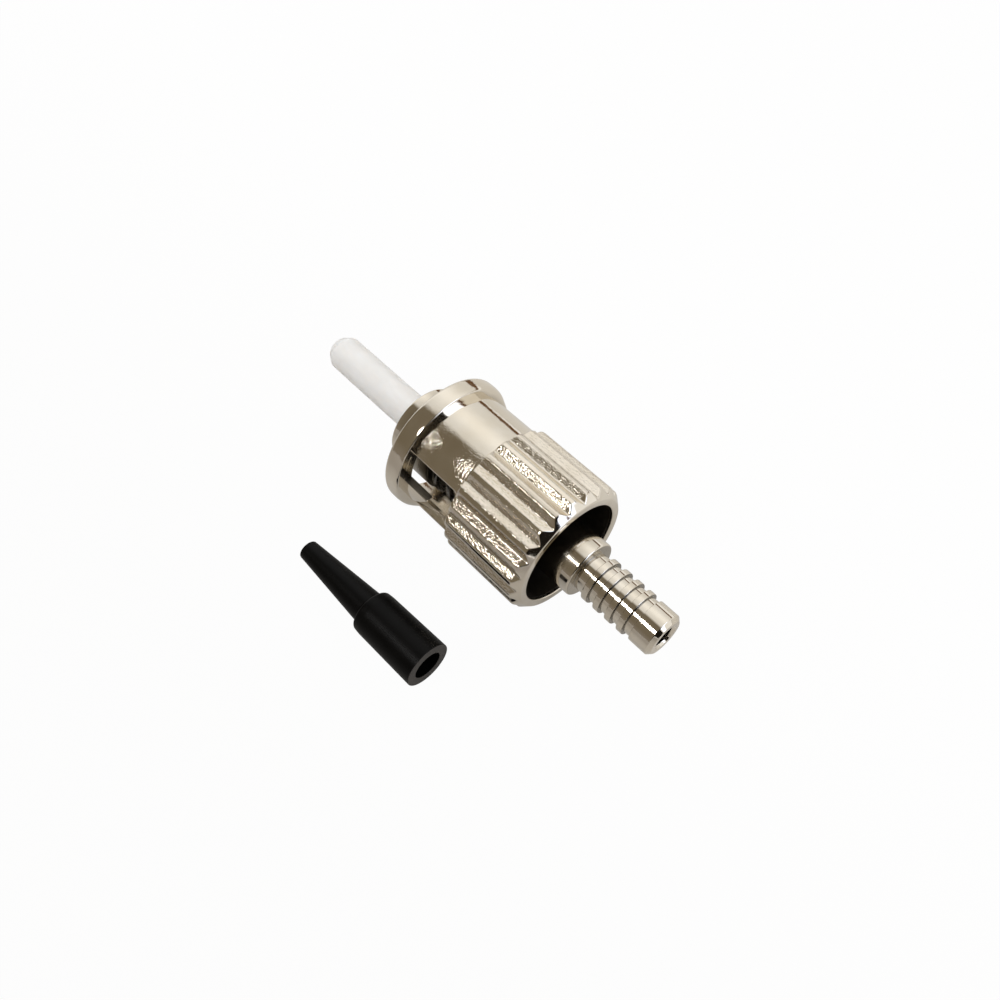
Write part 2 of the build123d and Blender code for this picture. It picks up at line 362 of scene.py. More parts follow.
def drawn_steel():
    """Drawn or stamped steel: grey, with streaks five times longer along X than across."""
    streak_mm, streak_depth = 0.06, 0.001
    material, shader, coords = new_finish("drawn_steel")
    shader.inputs["Metallic"].default_value = 1.0
    streak = grain(material, coords, streak_mm, stretch=(0.2, 1, 1))
    # Painted shade: the steel's grey is kept dark so that the coil looks dark inside the nut.
    stops = [(0.3, (0.13, 0.124, 0.114)), (0.7, (0.21, 0.20, 0.186))]
    spread(material, streak, stops, shader.inputs["Base Color"])
    vary(material, streak, 0.16, 0.30, shader.inputs["Roughness"])
    emboss(material, [(streak, streak_depth)], shader)
    return material


def matte_rubber():
    """Moulded rubber: a black skin with a fine grain, painted paler where the end-face mark is 1, as
    a painted reflection.
    """
    skin_stops = [(0.3, (0.0008, 0.0008, 0.0008)), (0.7, (0.0020, 0.0019, 0.0018))]
    # Painted reflection: the paler end face stands for the pale floor that it mirrors.
    end_face_stops = [(0.3, (0.080, 0.074, 0.070)), (0.7, (0.120, 0.112, 0.106))]
    grain_mm, grain_depth = 0.07, 0.003
    material, shader, coords = new_finish("matte_rubber")
    cloud = grain(material, coords, 1.6)
    fine = grain(material, coords, grain_mm, detail=3.0)
    skin = ramp_colour(material, cloud, skin_stops)
    painted_end = ramp_colour(material, fine, end_face_stops)
    colour = blend(material, mark_value(material, "painted_end_face"), skin, painted_end, "RGBA")
    material.node_tree.links.new(colour, shader.inputs["Base Color"])
    vary(material, fine, 0.34, 0.42, shader.inputs["Roughness"])
    shader.inputs["Specular IOR Level"].default_value = 0.10
    emboss(material, [(fine, grain_depth)], shader)
    return material


ceramic = milky_ceramic()
steel = drawn_steel()
rubber = matte_rubber()
print("finishes:", [m.name for m in (ceramic, steel, rubber)])


# %% [markdown]
# ## The ferrule
# A ground ceramic rod with a bevelled tip and a fibre bore too fine to see. It is turned from one
# outline: out along the bevel and the rod, a step to its seat in the barrel, and back through the
# bore.

# %% Ferrule
tip_bevel_l, tip_bevel_depth, tip_dome = 0.65, 0.36, 0.05
fibre_bore_r, seat_r, ferrule_columns = 0.063, 1.0, 96
ferrule_outline = rounded_outline([
    (ferrule_tip, fibre_bore_r, 0.01),
    (ferrule_tip + tip_dome, ferrule_r - tip_bevel_depth, 0.16),
    (ferrule_tip + tip_bevel_l, ferrule_r, 0.40),
    (0.0, ferrule_r, 0.02),
    (0.0, seat_r, 0.02),
    (ferrule_seat_end, seat_r, 0.05),
    (ferrule_seat_end, fibre_bore_r, 0.02),
], arc_steps=8)
ferrule_points = turned(ferrule_outline, ferrule_columns)
ferrule_faces = grid_faces(len(ferrule_outline), ferrule_columns).reshape(-1, 4).tolist()
put_piece("ceramic_ferrule", ferrule_points, ferrule_faces, "plug", "ferrule", ceramic)


# %% [markdown]
# ## The barrel
# One turned piece from the front shoulder to the end of the stem. The barbs that hold the crimp
# sleeve or the boot are what stays between the grooves, so the outline steps down and up again
# once for each barb, in a loop.

# %% Barrel
barrel_l, shank_r, shank_end = 3.6, 1.95, 15.4
barb_r, stem_r, groove_r, bore_r = 1.53, 1.47, 1.32, 0.735
first_groove, barb_pitch, groove_w, barb_count = 0.76, 0.94, 0.52, 4
clip_x, clip_groove_w, clip_groove_r = 9.39, 0.44, 1.70
stem_bevel, mouth_bevel, edge_round, fine_round = 0.26, 0.15, 0.12, 0.035

barrel_corners = [
    (0.0, seat_r, 0.02),
    (0.0, barrel_r, edge_round),
    (barrel_l, barrel_r, edge_round),
    (barrel_l, shank_r, 0.05),
    (clip_x, shank_r, 0.02),
    (clip_x, clip_groove_r, 0.02),
    (clip_x + clip_groove_w, clip_groove_r, 0.02),
    (clip_x + clip_groove_w, shank_r, 0.02),
    (shank_end, shank_r, edge_round),
    (shank_end, groove_r, fine_round),
]
for barb in range(barb_count):
    barb_x = shank_end + first_groove + barb * barb_pitch
    barb_end = barb_x + barb_pitch - groove_w
    barrel_corners += [
        (barb_x, groove_r, fine_round),
        (barb_x, barb_r, fine_round),
        (barb_end, barb_r, fine_round),
        (barb_end, groove_r, fine_round),
    ]
plain_x = shank_end + first_groove + barb_count * barb_pitch
barrel_corners += [
    (plain_x, groove_r, fine_round),
    (plain_x, stem_r, fine_round),
    (stem_end - stem_bevel, stem_r, 0.06),
    (stem_end, stem_r - stem_bevel, 0.06),
    (stem_end, bore_r + mouth_bevel, 0.04),
    (stem_end - mouth_bevel, bore_r, 0.04),
    (ferrule_seat_end, bore_r, 0.05),
    (ferrule_seat_end, seat_r, 0.02),
]
barrel_outline = rounded_outline(barrel_corners, arc_steps=5)
barrel_columns = 160
barrel_points = turned(barrel_outline, barrel_columns)
barrel_faces = grid_faces(len(barrel_outline), barrel_columns).reshape(-1, 4).tolist()
print("barrel corners:", len(barrel_corners))


# %% [markdown]
# The shank is painted dark, as painted shade, where the nut slides over it. Painted shade also sits
# on the rear faces of the barbs and on the shank's end face, and sets the grooves off. All of it goes
# into one mark for the material, whose value is the share of the painted shade.

# %% Marks on the barrel, and the piece
shade_start, shade_stop, shade_in, shade_out = 2.3, 13.0, 0.2, 0.6
barb_share, barb_reach, barb_edge = 0.75, 0.06, 0.02
end_share, end_reach, end_edge = 0.5, 0.05, 0.05
groove_slack = 0.01
barrel_x = barrel_points[..., 0]
barrel_radius = np.hypot(barrel_points[..., 1], barrel_points[..., 2])
# Painted shade: dark inside the nut, and on the barbs' rear faces and the shank's end face.
barrel_shade = np.clip((barrel_x - shade_start) / shade_in, 0, 1)
barrel_shade *= np.clip((shade_stop - barrel_x) / shade_out, 0, 1)
barb_ends = shank_end + first_groove + (1 + np.arange(barb_count)) * barb_pitch - groove_w
to_barb_end = np.abs(barrel_x[..., None] - barb_ends).min(-1)
outside = barrel_radius > groove_r - groove_slack
on_barb_end = outside & (to_barb_end < barb_reach) & (barrel_radius < barb_r - barb_edge)
to_shank_end = np.abs(barrel_x - shank_end)
on_shank_end = outside & (to_shank_end < end_reach) & (barrel_radius < shank_r - end_edge)
groove_shade = barb_share * on_barb_end + end_share * on_shank_end
barrel_marks = [("painted_shade", np.maximum(barrel_shade, groove_shade))]
put_piece("turned_barrel", barrel_points, barrel_faces,
          "plug", "barrel", barrel_plate, barrel_marks)


# %% [markdown]
# ## The nut's places round the axis
# The nut's neck has two windows half a turn apart. Seen along the turn, each window is a notch
# that holds a lug, then a tooth whose ramp falls to the window's foot. The lug gets there through
# a channel inside the flange, which cannot be seen from outside. A column of the nut's grid stands
# at every half degree, so the window's sides lie on grid lines.

# %% Windows as functions of the angle
nut_columns = 720
degrees = np.arange(nut_columns) * 360 / nut_columns
window_start, notch, ramp, foot, channel = 141.0, 29.5, 32.0, 5.5, 20.0
window = notch + ramp + foot
phase = (degrees - window_start) % 180
on_ramp = (phase > notch) & (phase <= notch + ramp)
in_window = phase <= window
in_channel = (phase > notch + ramp) & (phase < notch + ramp + channel)
on_land = ~in_window
tooth_height, tooth_round, flat_lip, land_lip = 2.25, 0.22, 0.02, 0.30
socket_r, neck_r, grip_r = 3.68, 4.24, 4.65
from_tooth_side = np.clip(tooth_round - np.radians(phase - notch) * neck_r, 0, tooth_round)
tooth_drop = tooth_round - np.sqrt(tooth_round**2 - from_tooth_side**2)
climb = tooth_height * (1 - (phase - notch) / ramp) - tooth_drop
lip = np.where(on_ramp, np.maximum(climb, flat_lip), np.where(on_land, land_lip, flat_lip))
print("window columns:", int(in_window.sum()), "tooth", round(float(lip.max()), 2), "mm")


# %% [markdown]
# ## The grip's flutes
# Twenty-two straight flutes run along the grip. Across one flute the floor and the two flanks are
# straight lines, so in polar form each is a radius divided by a cosine. A smooth minimum joins the
# flanks to the crests, and that rounds the edges as the casting does.

# %% Flutes as a radius round the axis
flute_count, first_flute = 22, 126.4
flute_floor_w, crest_w, floor_rise, floor_blend = 0.06, 0.26, 0.08, 0.05
flute_floor_r = neck_r + floor_rise
flute_mouth_w = 2 * np.pi * grip_r / flute_count - crest_w
flank_slope = (grip_r - flute_floor_r) / ((flute_mouth_w - flute_floor_w) / 2)
pitch = 360 / flute_count
off_centre = np.radians((degrees - first_flute + pitch / 2) % pitch - pitch / 2)


def smooth_min(a, b, width):
    """The lower of a and b, blended by a parabola where they differ by less than width."""
    share = np.clip(0.5 + 0.5 * (b - a) / width, 0, 1)
    return b + (a - b) * share - width * share * (1 - share)


flank_foot = flute_floor_r - flank_slope * flute_floor_w / 2
flank_r = flank_foot / (np.cos(off_centre) - flank_slope * np.abs(np.sin(off_centre)))
floor_r = flute_floor_r / np.cos(off_centre)
flute_r = -smooth_min(-flank_r, -floor_r, floor_blend)
print(f"flute radius {flute_r.min():.2f} to {flute_r.max():.2f} mm, mouth {flute_mouth_w:.2f} mm")


# %% [markdown]
# ## The nut's section
# The nut is a closed section carried round the axis, like a turned piece, except that some rows
# move with the angle: the lip of the window follows the ramp, the entry channels widen the front
# bore, the flutes lower the grip, and the flange's rear edge is rounder beside each window's foot.
# Rows are written as arrays over all columns at once.

# %% Rows of the section
def arc_rows(x, r, radius, start, stop, steps):
    """Rows on an arc round the centre (x, r), from the start to the stop angle in degrees."""
    angles = np.radians(np.linspace(start, stop, steps))
    return [(x + radius * np.cos(a), r + radius * np.sin(a)) for a in angles]


flange_w, neck_l = 1.33, 4.08
flange_rear = nut_front + flange_w
grip_front = flange_rear + neck_l
front_round, root = 0.25, 0.01
land_edge, foot_extra, foot_reach, foot_fade = 0.10, 0.44, 35, 20
beside_foot = np.clip((foot_reach - np.abs(phase - window)) / foot_fade, 0, 1)
rear_round = land_edge + foot_extra * beside_foot * beside_foot * (3 - 2 * beside_foot)
channel_depth, channel_run = 0.3, 1.4
bore_at_flange = socket_r + channel_depth * in_channel
corner_r = 0.30
from_side = np.radians(np.minimum(phase, window - phase)) * neck_r
inset = np.clip(corner_r - from_side, 0, corner_r)
corner_drop = corner_r - np.sqrt(corner_r**2 - inset**2)
top_gap = np.where(in_window, np.maximum(corner_drop, flat_lip), corner_r)
lip_x = flange_rear + lip
top_x = grip_front - top_gap
print("section runs from", round(nut_front, 2), "to", round(nut_rear, 2))


# %% [markdown]
# The edges of a window are round as well. On the land beside the window, and on the tooth below
# its lip, the wall falls away by a quarter arc over the last few hundredths of a millimetre.

# %% Rows from the flange to the grip
window_round, lip_band, band_share = 0.09, 0.12, 0.9


def fall(distance):
    """How far a rounded edge lies below its wall, at this distance from the edge: a quarter arc."""
    inside = np.clip(window_round - distance, 0, window_round)
    return window_round - np.sqrt(window_round**2 - inside**2)


to_window = np.radians(np.minimum(np.abs(phase - window), np.abs(180 - phase))) * neck_r
land_fall = np.where(on_land, fall(to_window), fall(0) * ((phase == 0) | (phase == window)))
lip_room = np.maximum(lip - root, 0.5 * flat_lip)
lip_steps = np.array([1.0, 0.75, 0.5, 0.25, 0.0]) * lip_band


def lip_row(step):
    """A row just below the window's lip, lowered by the rounded edge where the tooth stands."""
    below = np.minimum(step, band_share * lip_room * step / lip_band)
    rounded = np.where(on_ramp, fall(below) * np.minimum(1, lip_room / window_round), 0)
    return lip_x - below, neck_r - rounded - land_fall


neck_low = [(flange_rear + root, neck_r - land_fall)]
neck_low += [lip_row(step) for step in lip_steps]
mid_shares = np.linspace(0, 1, 9)[1:]
neck_mid = [(lip_x + share * (top_x - lip_x), neck_r - land_fall) for share in mid_shares]
neck_top = [(top_x + share * top_gap, neck_r + 0 * phase) for share in (0.5, 0.9)]
print("neck rows:", len(neck_low), len(neck_mid), len(neck_top))


# %% [markdown]
# Over the grip every row's radius is the smooth minimum of a turned profile and the flutes, down to
# the rear bevel. The flange in front has a slight crown, so that its rim catches more than one
# tone. The outer rows run from the front face over flange and neck to the end of the grip.

# %% Outer rows
grip_draft, crest_round, edge_blend = 0.10, 0.16, 0.07
rear_bevel_l, rim_w, bevel_blend = 0.52, 0.49, 0.10
rim_r = socket_r + rim_w
bevel_start = nut_rear - rear_bevel_l
crest_profile = [
    (grip_front + 0.02, neck_r + 0.01),
    (grip_front + 0.04, neck_r + 0.08),
    (grip_front + grip_draft, grip_r - crest_round),
    (grip_front + grip_draft + 0.04, grip_r - 0.07),
    (grip_front + grip_draft + 0.10, grip_r - 0.02),
    (grip_front + grip_draft + crest_round + 0.04, grip_r),
    (grip_front + grip_draft + 0.5, grip_r),
    (0.5 * (grip_front + bevel_start), grip_r),
    (bevel_start - 0.30, grip_r),
]
bevel_x = np.linspace(bevel_start - 0.15, nut_rear - 0.03, 16)
bevel_line = grip_r - (bevel_x - bevel_start) * (grip_r - rim_r) / rear_bevel_l
bevel_profile = list(zip(bevel_x, smooth_min(bevel_line, grip_r, bevel_blend)))
capped_flute = np.minimum(flute_r, grip_r + 0.3)
grip_rows = [(x + 0 * phase, smooth_min(capped_flute, r + 0 * phase, edge_blend))
             for x, r in crest_profile + bevel_profile]

outer_rows = [(nut_front + 0 * phase, bore_at_flange + edge) for edge in (0.04, 0.08)]
outer_rows += arc_rows(nut_front + front_round, flange_r - front_round, front_round, 180, 90, 8)
crown_r, crown_turn = 1.9, 9.0
crown_sin, crown_cos = np.sin(np.radians(crown_turn)), np.cos(np.radians(crown_turn))
edge_x = flange_rear - rear_round
edge_r = flange_r - crown_r * (1 - crown_cos) - rear_round * crown_cos
crown_x = edge_x + (rear_round - crown_r) * crown_sin
outer_rows += [(nut_front + front_round + 0.04, flange_r), (crown_x - 0.04, flange_r)]
outer_rows += arc_rows(crown_x, flange_r - crown_r, crown_r, 90, 90 - crown_turn, 6)
outer_rows += arc_rows(edge_x, edge_r, rear_round, 90 - crown_turn, 0, 10)[1:]
outer_rows += [(flange_rear, edge_r - 0.03), (flange_rear, neck_r - land_fall)]
lip_index = len(outer_rows) + len(neck_low) - 1
top_index = lip_index + len(neck_mid)
outer_rows += neck_low + neck_mid + neck_top + grip_rows
print("outer rows:", len(outer_rows), "lip at row", lip_index, "top at row", top_index)


# %% [markdown]
# The inside mirrors the neck rows, because a window needs a wall from each outer row to the inner
# row behind it. The cup at the rear is open to view, so its mouth is rounded too.

# %% Inner rows and the whole grid
web_x, web_t, web_bore_r = 8.47, 0.90, 2.0
mouth_round, rim_round, web_round, web_edge, hold = 0.08, 0.05, 0.10, 0.05, 0.08
rim_mid = (nut_rear, 0.5 * (rim_r + socket_r))
rear_rows = arc_rows(nut_rear - rim_round, rim_r - rim_round, rim_round, 45, 0, 4)
rear_rows += [rim_mid]
rear_rows += arc_rows(nut_rear - mouth_round, socket_r + mouth_round, mouth_round, 0, -90, 5)
web_rear = web_x + web_t
rear_rows += [(nut_rear - 0.3, socket_r), (web_rear + 0.2, socket_r)]
rear_rows += arc_rows(web_rear + web_round, socket_r - web_round, web_round, 90, 180, 4)
rear_rows += [(web_rear, web_bore_r + hold), (web_rear - web_edge, web_bore_r)]
rear_rows += [(web_x + web_edge, web_bore_r), (web_x, web_bore_r + hold)]
rear_rows += [(web_x, socket_r - web_edge), (web_x - web_edge, socket_r)]
rear_rows += [(grip_front + 0.1, socket_r), (grip_front + 0.01, socket_r)]

neck_rows = outer_rows[lip_index:top_index + 1]
pocket_end = flange_rear + channel_run
pocket = channel_depth * (in_channel & on_land)
inner_neck = [(x, socket_r + pocket * (x < pocket_end)) for x, r in reversed(neck_rows)]
inner_top = len(outer_rows) + len(rear_rows)
inner_lip = inner_top + len(inner_neck) - 1
front_rows = [(flange_rear - 0.01, bore_at_flange), (0.5 * (nut_front + flange_rear), bore_at_flange)]
front_rows += [(nut_front + 0.08, bore_at_flange), (nut_front + 0.03, bore_at_flange + 0.01)]
section = outer_rows + rear_rows + inner_neck + front_rows
nut_x = np.array([x + 0 * phase for x, r in section])
nut_r = np.array([r + 0 * phase for x, r in section])
turn = np.radians(degrees)
nut_points = np.stack([nut_x, nut_r * np.cos(turn), nut_r * np.sin(turn)], axis=-1)
print("nut grid:", nut_points.shape[:2])


# %% [markdown]
# ## Where the tumbling did not reach
# The peel of the casting is left on the neck beside each notch, in the corners at the flange and at
# the grip, and on the flanks of the flutes. Painted shade darkens the plate most in the cup and on
# the side of the tooth, and a little in the socket.

# %% Marks on the nut for its material
corner_reach, flange_fade, bevel_gap, peel_power = 1.9, 0.08, 0.1, 0.7
patch_start, patch_in, patch_stop, patch_out = 139, 14, 179, 4
cup_share, socket_share, tooth_share = 1.0, 0.25, 0.85
rim_rows, cup_start, socket_start, web_slack = 4, 0.25, 0.15, 0.06
row_index = np.arange(len(section))[:, None]
on_neck = (row_index >= lip_index - len(neck_low) + 1) & (row_index <= top_index + len(neck_top))
on_grip = (row_index > top_index + len(neck_top)) & (row_index < len(outer_rows))
from_flange = np.clip(1 - (nut_x - flange_rear) / corner_reach, 0, 1)
from_flange *= np.clip((nut_x - flange_rear) / flange_fade, 0, 1)
from_grip = np.clip(1 - (grip_front - nut_x) / corner_reach, 0, 1)
beside_notch = np.clip((phase - patch_start) / patch_in, 0, 1)
beside_notch *= np.clip((patch_stop - phase) / patch_out, 0, 1)
flank_half = np.radians(pitch / 2) - 0.5 * crest_w / grip_r
on_flank = (np.abs(off_centre) > 0.5 * flute_floor_w / neck_r) & (np.abs(off_centre) < flank_half)
neck_recess = beside_notch * np.maximum(from_flange, from_grip) ** peel_power
flute_recess = 1.0 * (on_grip & on_flank & (nut_x < bevel_start - bevel_gap))
recess = np.where(on_neck, neck_recess, flute_recess)
past_mouths = (nut_x < nut_rear - cup_start) & (nut_x > nut_front + socket_start)
inside = (row_index > len(outer_rows) + rim_rows) & past_mouths
# Painted shade: the plate is darkened in the cup, in the socket and on the side of the tooth.
painted_shade = inside * np.where(nut_x > web_rear - web_slack, cup_share, socket_share)
tooth_side = (phase >= notch) & (phase <= notch + 360 / nut_columns)
painted_shade[lip_index, tooth_side] = tooth_share
painted_shade[inner_lip, tooth_side] = 1.0
nut_marks = [("recess", recess), ("painted_shade", painted_shade)]
print(f"recess on {(recess > 0).mean():.0%} of the points, hidden on {painted_shade.mean():.0%}")


# %% [markdown]
# ## The windows' openings
# The grid is closed all round, so the windows are opened last: the faces between the lip and the
# top of each window are left out, on the outer and the inner wall, and walls join the two along
# the lip, along the top and at both sides.

# %% Open the windows and make the nut
nut_grid = grid_faces(len(section), nut_columns)
opened = np.zeros(nut_grid.shape[:2], bool)
window_cells = in_window & (phase < window)
opened[lip_index:top_index] = window_cells
opened[inner_top:inner_lip] = window_cells
nut_faces = nut_grid[~opened]


def wall(outer_row, inner_row, columns, flip):
    """Faces between an outer and an inner row of the grid, over these columns."""
    right = (columns + 1) % nut_columns
    ring = [outer_row * nut_columns + columns, outer_row * nut_columns + right,
            inner_row * nut_columns + right, inner_row * nut_columns + columns]
    return np.stack(ring[::-1] if flip else ring, axis=-1)


def side(column, flip):
    """Faces between the outer and the inner wall along one side of a window."""
    low = np.arange(lip_index, top_index)
    inner = inner_top + top_index - low
    ring = [low * nut_columns + column, (low + 1) * nut_columns + column,
            (inner - 1) * nut_columns + column, inner * nut_columns + column]
    return np.stack(ring[::-1] if flip else ring, axis=-1)


open_columns = np.flatnonzero(window_cells)
walls = [wall(lip_index, inner_lip, open_columns, True)]
walls += [wall(top_index, inner_top, open_columns, False)]
walls += [side(column, False) for column in np.flatnonzero(phase == 0)]
walls += [side(column, True) for column in np.flatnonzero(phase == window)]
all_faces = np.concatenate([nut_faces, *walls]).tolist()
put_piece("cast_nut", nut_points, all_faces, "nut", "bayonet_nut", nut_plate, nut_marks)


# %% [markdown]
# ## The spring
# Round wire in a coil, with its end turns closed. The path is a helix whose advance per turn is
# small in the closed turns and larger between them, and a circle carried along it makes the wire.
# When the nut is pushed forward the coil shortens towards the barrel's shoulder; here it is drawn as
# the frame has it.

# %% Spring
wire_r, coil_r, closed_turns, open_turns = 0.225, 2.395, 0.75, 2.1
closed_pitch, wire_steps, wire_sides = 0.47, 240, 14
turns = 2 * closed_turns + open_turns
wire_turn = np.linspace(0, turns, wire_steps)
coil_travel = spring_stop - spring_start - 2 * wire_r
open_pitch = (coil_travel - 2 * closed_turns * closed_pitch) / open_turns
in_closed = (wire_turn < closed_turns) | (wire_turn > turns - closed_turns)
rate = np.where(in_closed, closed_pitch, open_pitch)
advance = np.concatenate([[0], np.cumsum((rate[1:] + rate[:-1]) / 2 * np.diff(wire_turn))])
advance *= coil_travel / advance[-1]


def wire_surface(x, angle, sides):
    """Circle carried along the coil.

    At each point of the coil the circle lies in the plane of the radius and of the direction that is
    square to both the radius and the wire.
    """
    across = np.linspace(0, 2 * np.pi, sides, endpoint=False)
    radial = np.stack([0 * angle, np.cos(angle), np.sin(angle)], axis=-1)[:, None]
    centre = coil_r * radial + x[:, None, None] * np.array([1.0, 0, 0])
    forward = np.gradient(centre[:, 0], axis=0)
    forward /= np.linalg.norm(forward, axis=1, keepdims=True)
    square = np.cross(forward, radial[:, 0])[:, None]
    ring = np.cos(across)[:, None] * radial + np.sin(across)[:, None] * square
    return centre + wire_r * ring


wire_points = wire_surface(spring_start + wire_r + advance, 2 * np.pi * wire_turn, wire_sides)
wire_faces = grid_faces(len(wire_turn), wire_sides)[:-1].reshape(-1, 4)[:, ::-1].tolist()
last_ring = (len(wire_turn) - 1) * wire_sides
wire_faces += [list(range(wire_sides)), list(range(last_ring, last_ring + wire_sides))[::-1]]
spring = put_piece("coil_spring", wire_points, wire_faces, "plug", "spring", steel)
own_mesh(spring)


# %% [markdown]
# ## Washer, clip and key
# These three are small and hardly show, and their CAD shapes are already right. So they stay as
# they are and only get a finish.

# %% Dress the small CAD parts
small_parts = {"thrust_washer": steel, "retaining_clip": steel, "alignment_key": barrel_plate}
for node, finish in small_parts.items():
    small_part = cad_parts[node]
    small_part.data.materials.clear()
    small_part.data.materials.append(finish)
    print(node, "wears", finish.name)


# %% [markdown]
# ## The boot
# Moulded rubber: a thick collar that stretches over the barbs, a rounded step, and a long taper to
# the fibre. Its outline is turned round X and then laid down along the boot's own axis, at the place
# that the box of the CAD boot gives. A mark tells the material where the mouth's end face is, which
# is painted paler as a painted reflection.

# %% Boot
collar_r, collar_l, step_l, shoulder_r = 1.605, 5.03, 0.5, 1.135
taper_l, tip_r, mouth_r, mouth_l, fibre_r = 5.93, 0.675, 0.975, 5.6, 0.475
step_foot, step_top, step_drop, swell_l, swell_drop = 0.30, 0.16, 0.12, 0.40, 0.07
boot_l, boot_columns, end_face_depth = collar_l + step_l + taper_l, 112, 0.02
boot_outline = rounded_outline([
    (-boot_l, fibre_r, 0.03),
    (-boot_l, tip_r, 0.09),
    (-collar_l - step_foot, shoulder_r, 0.10),
    (-collar_l - step_top, collar_r - step_drop, 0.22),
    (-collar_l + swell_l, collar_r - swell_drop, 0.50),
    (0.0, collar_r, 0.05),
    (0.0, mouth_r, 0.04),
    (-mouth_l, mouth_r, 0.05),
    (-mouth_l, fibre_r, 0.05),
], arc_steps=7)
heading = np.radians(2.09)
mouth_y = boot_side - collar_r * np.cos(heading)
boot_place = np.array([boot_mouth - collar_r * np.sin(heading), mouth_y, floor_z + collar_r])
laid = turned(boot_outline, boot_columns).reshape(-1, 3)
along = np.array([np.cos(heading), np.sin(heading), 0])
beside = np.array([-np.sin(heading), np.cos(heading), 0])
upward = np.array([0, 0, 1])
boot_points = boot_place + laid[:, :1] * along + laid[:, 1:2] * beside + laid[:, 2:] * upward
boot_faces = grid_faces(len(boot_outline), boot_columns).reshape(-1, 4).tolist()
# The mouth's end face carries the painted reflection.
boot_marks = [("painted_end_face", 1.0 * (laid[:, 0] > -end_face_depth))]
put_piece("rubber_boot", boot_points, boot_faces, "plug", "boot", rubber, boot_marks)


# %% [markdown]
# ## The floor and the studio
# The ground is plain white. The floor is a sheet of paper painted darker on the near side than on
# the far side, as painted shade, with white light of its own mixed in where a ray looks at it. The
# camera sees it almost white. Reflections see more of the lit paper, with its painted shade and the
# object's shadow, which darken the underside of the metal.

# %% White floor
def seen_by(tree, shares):
    """Sum of the shares of the kinds of ray that Light Path tells apart; a ray is of one kind."""
    path = tree.nodes.new("ShaderNodeLightPath")
    total = None
    for kind, share in shares:
        part = tree.nodes.new("ShaderNodeMath")
        part.operation = "MULTIPLY_ADD"
        part.inputs[1].default_value = share
        part.inputs[2].default_value = 0.0
        tree.links.new(path.outputs[kind], part.inputs[0])
        if total:
            tree.links.new(total, part.inputs[2])
        total = part.outputs[0]
    return total


def sheet(name, corners, material):
    """A flat stage sheet through four corners, in metres."""
    mesh = bpy.data.meshes.new(name)
    mesh.from_pydata(corners, [], [(0, 1, 2, 3)])
    mesh.materials.append(material)
    stage_piece = bpy.data.objects.new(name, mesh)
    bpy.context.collection.objects.link(stage_piece)
    return stage_piece


def floor_finish():
    """Paper painted darker towards near_y than at far_y, as painted shade, with light of its own
    mixed in by the kind of ray.
    """
    near_y, far_y = -0.020, 0.016
    # Painted shade: the paper is painted darker on the near side, away from the light.
    near_painted_shade, far_paper = (0.21, 0.18, 0.15), (0.70, 0.68, 0.65)
    material = bpy.data.materials.new("white_floor")
    material.use_nodes = True
    tree = material.node_tree
    tree.nodes.clear()
    paper = tree.nodes.new("ShaderNodeBsdfDiffuse")
    place = tree.nodes.new("ShaderNodeTexCoord")
    parts = tree.nodes.new("ShaderNodeSeparateXYZ")
    tree.links.new(place.outputs["Object"], parts.inputs["Vector"])
    across = carried(material, parts.outputs["Y"], 0, 1, (near_y, far_y))
    shade_grade = ramp_colour(material, across, [(0.0, near_painted_shade), (1.0, far_paper)])
    tree.links.new(shade_grade, paper.inputs["Color"])
    glow = tree.nodes.new("ShaderNodeEmission")
    mix = tree.nodes.new("ShaderNodeMixShader")
    output = tree.nodes.new("ShaderNodeOutputMaterial")
    shares = [("Is Camera Ray", 0.975), ("Is Glossy Ray", 0.2), ("Is Transmission Ray", 0.2)]
    tree.links.new(seen_by(tree, shares), mix.inputs["Fac"])
    tree.links.new(paper.outputs["BSDF"], mix.inputs[1])
    tree.links.new(glow.outputs["Emission"], mix.inputs[2])
    tree.links.new(mix.outputs["Shader"], output.inputs["Surface"])
    return material


floor_half = 1.5
floor_level = floor_z * MM
floor_signs = ((-1, -1), (1, -1), (1, 1), (-1, 1))
floor_corners = [(x * floor_half, y * floor_half, floor_level) for x, y in floor_signs]
sheet("floor", floor_corners, floor_finish())
print("floor at", round(floor_z, 3), "mm")


# %% [markdown]
# The world is white for the rays that look at it, and a softer grey for the light it sheds.

# %% White surroundings
shed_level, seen_level = 0.42, 1.0
world = bpy.data.worlds.new("studio")
bpy.context.scene.world = world
world.use_nodes = True
world_tree = world.node_tree
ambient = world_tree.nodes["Background"]
ambient.inputs["Color"].default_value = (1.0, 1.0, 1.0, 1)
level = world_tree.nodes.new("ShaderNodeMapRange")
level.inputs["To Min"].default_value = shed_level
level.inputs["To Max"].default_value = seen_level
looks = [("Is Camera Ray", 1.0), ("Is Glossy Ray", 1.0), ("Is Transmission Ray", 1.0)]
world_tree.links.new(seen_by(world_tree, looks), level.inputs["Value"])
world_tree.links.new(level.outputs["Result"], ambient.inputs["Strength"])
print("world set")


# %% [markdown]
# ## Cards
# Bright metal only looks like metal when it has something dark to mirror. In a studio that is done
# with dark cards round the object. Each card here is a patch of a large sphere, told by its angle
# round the connector's axis and its angle from the axis, and painted by a tone at each point, so
# that an edge can be soft. Cards show in reflections alone.
# Each card is a painted reflection: a sheet that glows with its tone, lights nothing and casts no
# shadow.

# %% Card helpers
def card_angles(around, from_axis, steps=49):
    """Grids of the angle a round X, from +Y towards +Z, and the angle b from +X, in degrees."""
    return np.meshgrid(np.linspace(*around, steps), np.linspace(*from_axis, steps), indexing="ij")


